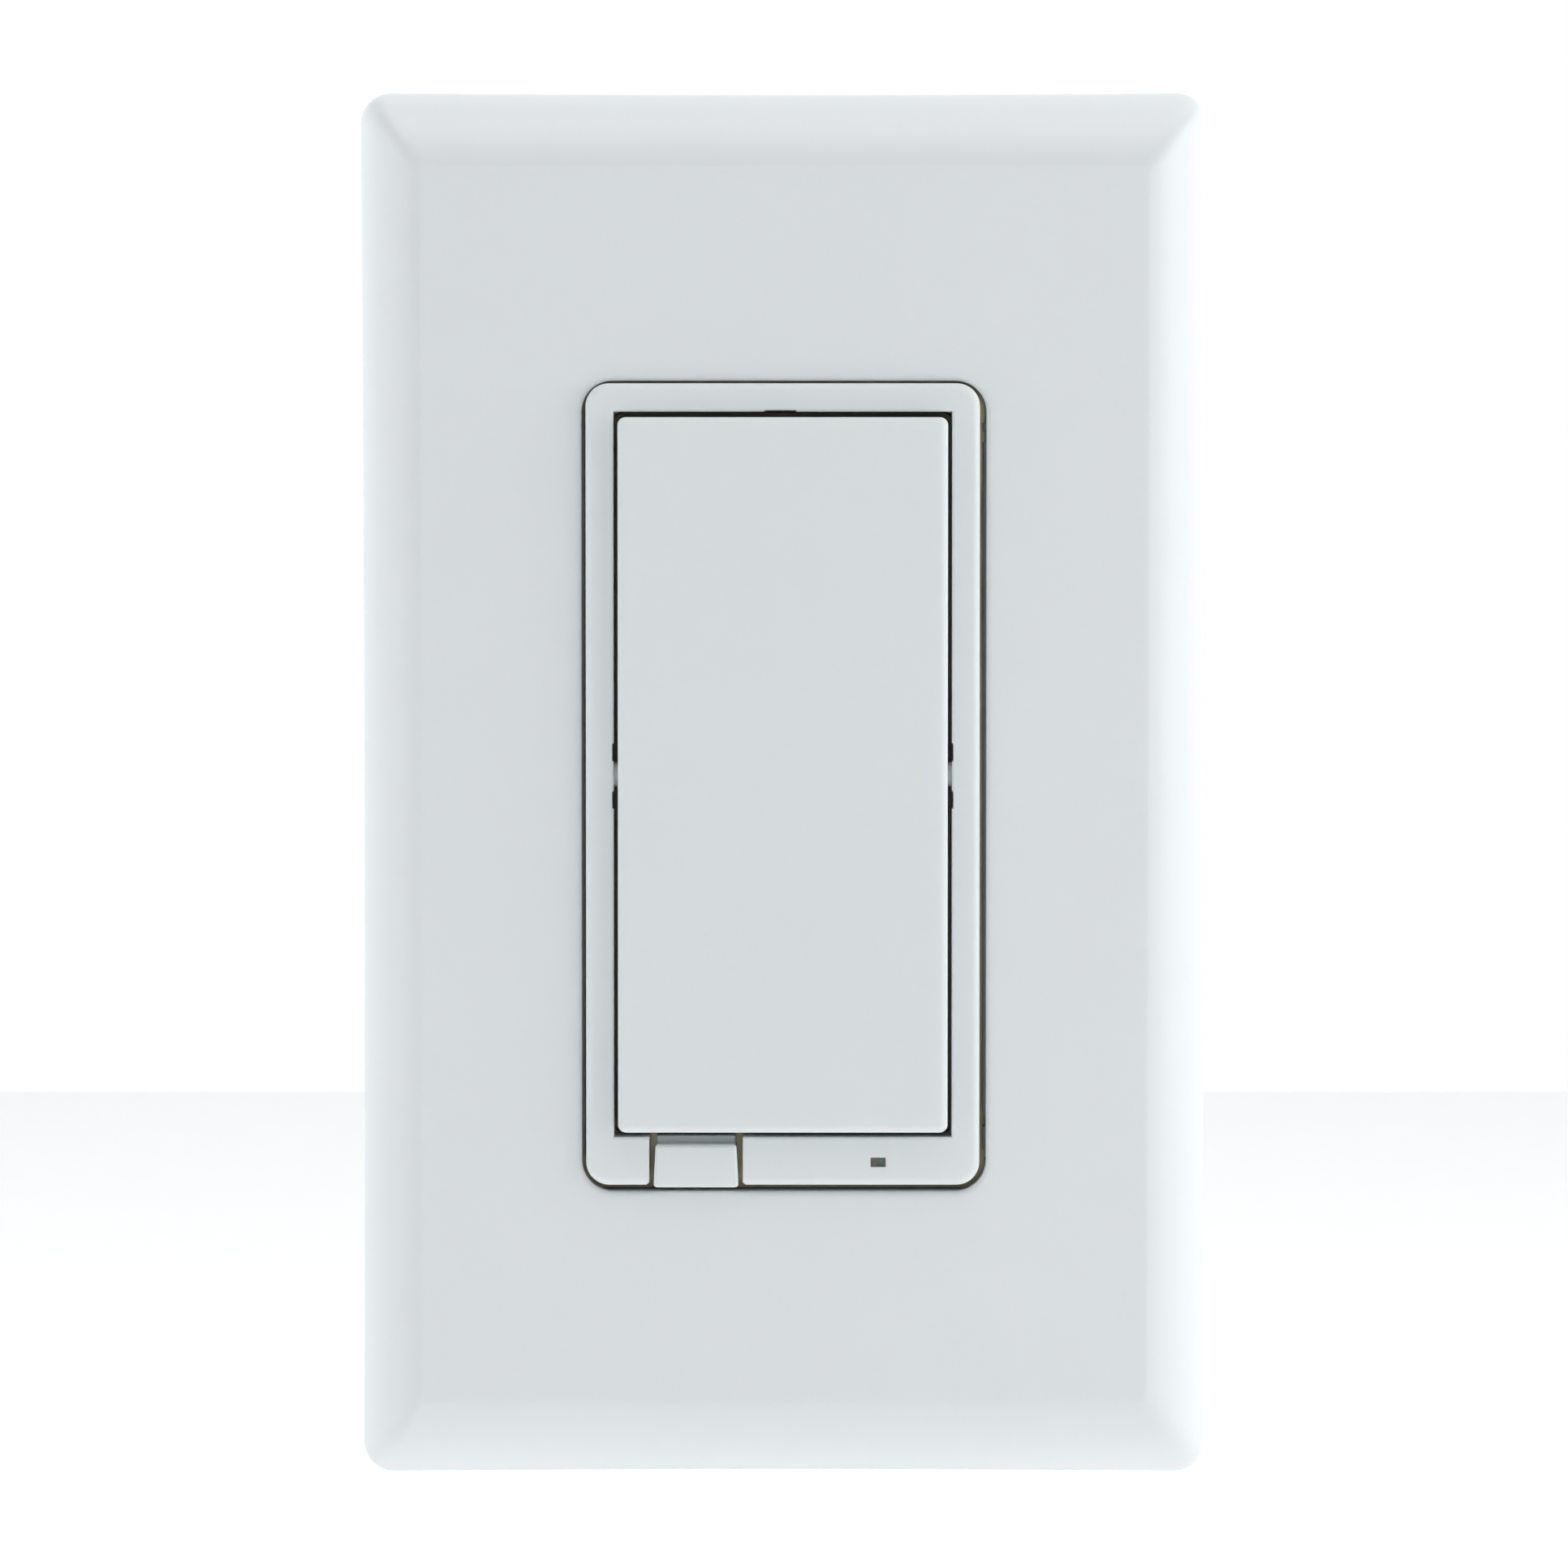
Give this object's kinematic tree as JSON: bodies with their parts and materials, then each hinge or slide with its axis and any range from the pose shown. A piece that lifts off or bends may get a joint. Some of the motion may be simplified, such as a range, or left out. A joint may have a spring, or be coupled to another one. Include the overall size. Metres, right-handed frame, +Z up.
{
  "type": "paddle_dimmer_with_plate",
  "caption": "Wall dimmer with a rocking paddle, pull-out air-gap tab and status light, in a screwless rectangular decorator wall plate",
  "frame": {"origin": "middle of the two box screws, on the wall's surface", "axes": "X right, Y into the wall, Z up; the front faces -Y"},
  "size_m": [0.0698, 0.0379, 0.1142],
  "materials": {
    "plate_plastic": "smooth gloss",
    "sub_plastic": "plain moulded",
    "zinc_steel": "yellow zinc plated",
    "screw_steel": "nickel plated",
    "frame_plastic": "plain moulded",
    "fibre": "pressed fibre",
    "device_plastic": "satin fine texture",
    "brass": "plain",
    "clear_light": "translucent",
    "dark_plastic": "fine texture",
    "board": "solder mask",
    "aluminium": "mill finish",
    "pad": "silicone",
    "ferrite": "ground",
    "cap_blue": "dipped epoxy",
    "aluminium_sleeve": "shrink sleeve",
    "coil_tape": "tape wound",
    "fuse_ceramic": "fired",
    "green_steel": "green passivated"
  },
  "bodies": {
    "base": {"air_gap_contacts": "brass", "bezel": "device_plastic", "box_screws": "screw_steel", "brass_screws": "brass", "choke": "ferrite", "control_board": "board", "electrolytic_capacitor": "aluminium_sleeve", "film_capacitor": "cap_blue", "front_chassis": "frame_plastic", "fuse": "fuse_ceramic", "ground_screw": "green_steel", "header_pins": "brass", "heat_spreader": "aluminium", "housing_screws": "screw_steel", "light_pipe": "clear_light", "lower_switch_body": "dark_plastic", "microcontroller": "dark_plastic", "power_board": "board", "radio_board": "board", "radio_shield": "zinc_steel", "rear_housing": "dark_plastic", "screw_washers": "fibre", "silver_screws": "screw_steel", "status_led": "clear_light", "sub_plate": "sub_plastic", "sub_plate_screws": "screw_steel", "terminal_plates": "brass", "thermal_pad": "pad", "transformer_coil": "coil_tape", "transformer_core": "ferrite", "triac": "dark_plastic", "upper_switch_body": "dark_plastic", "varistor": "cap_blue", "wall_plate": "plate_plastic", "wire_clamps": "zinc_steel", "yoke": "zinc_steel"},
    "paddle": {"paddle": "device_plastic"},
    "air_gap": {"air_gap_tab": "device_plastic", "air_gap_bridge": "brass"},
    "upper_stem": {"upper_switch_stem": "dark_plastic"},
    "lower_stem": {"lower_switch_stem": "dark_plastic"}
  },
  "joints": [
    {"name": "paddle_rock", "type": "hinge", "parent": "base", "child": "paddle", "pos_m": [0, -0.0049, 0.00082], "axis": [1, 0, 0], "range_deg": [-2, 2], "stiffness_Nm_per_rad": 1.7},
    {"name": "air_gap_pull", "type": "slide", "parent": "base", "child": "air_gap", "axis": [0, -1, 0], "range_m": [0, 0.0035]},
    {"name": "upper_stem_press", "type": "slide", "parent": "base", "child": "upper_stem", "axis": [0, 1, 0], "range_m": [-0.0009, 0.0009]},
    {"name": "lower_stem_press", "type": "slide", "parent": "base", "child": "lower_stem", "axis": [0, 1, 0], "range_m": [-0.0009, 0.0009]}
  ],
  "couplings": [
    {"joint": "upper_stem_press", "follows": "paddle_rock", "m_per_rad": -0.02},
    {"joint": "lower_stem_press", "follows": "paddle_rock", "m_per_rad": 0.02}
  ]
}
